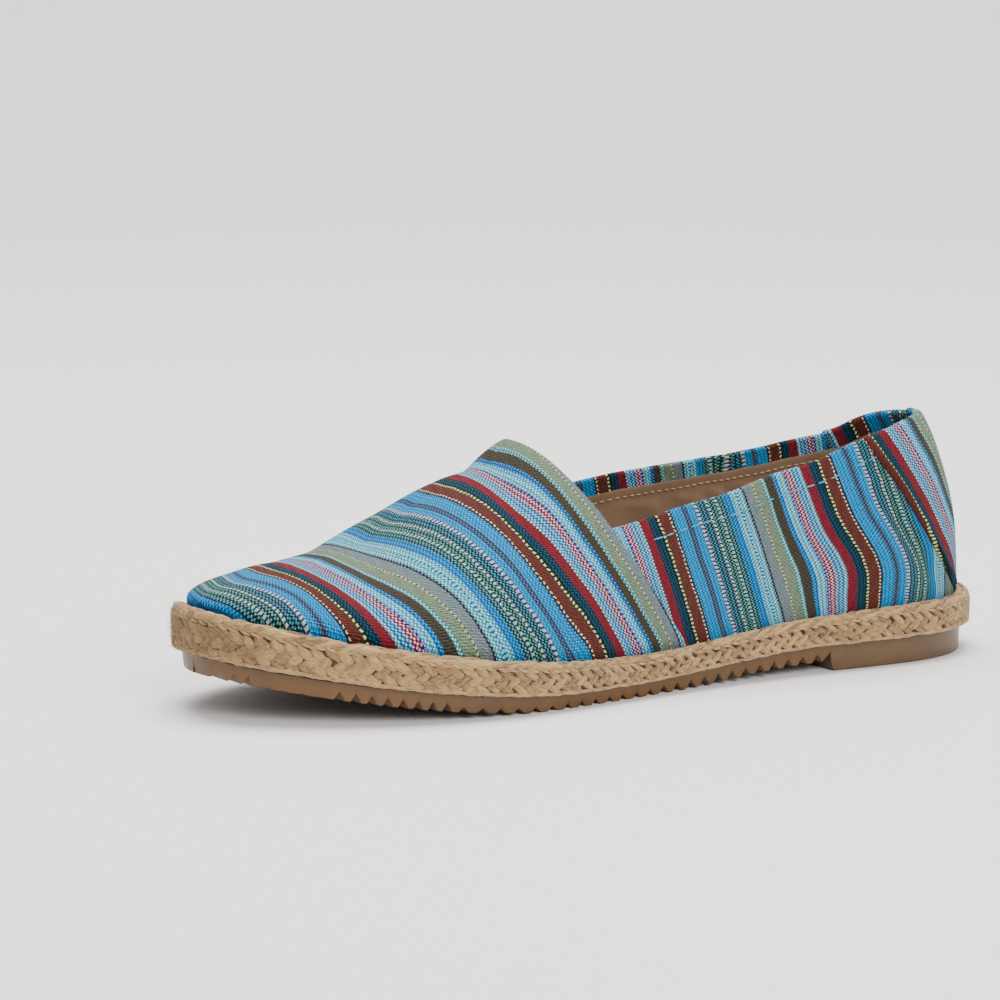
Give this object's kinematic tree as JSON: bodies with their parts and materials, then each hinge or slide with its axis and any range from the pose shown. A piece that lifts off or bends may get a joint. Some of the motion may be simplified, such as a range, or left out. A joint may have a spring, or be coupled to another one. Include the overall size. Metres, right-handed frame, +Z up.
{
  "type": "espadrille",
  "caption": "Slip-on striped espadrille for the left foot, with a braided rope band and a ribbed rubber sole with a low heel.",
  "frame": {"origin": "middle of the shoe's plan, on the floor plane that the heel and forefoot stand on", "axes": "+X to the toe, +Y to the outer side of the left foot, +Z up"},
  "size_m": [0.27, 0.0954, 0.0741],
  "materials": {
    "outsole": "satin moulded rubber",
    "rope_band": "braided jute",
    "insole": "plain textile",
    "upper": "striped woven cotton"
  },
  "bodies": {
    "root": {"outsole": "outsole", "rope_band": "rope_band", "insole": "insole", "upper": "upper"}
  },
  "joints": []
}
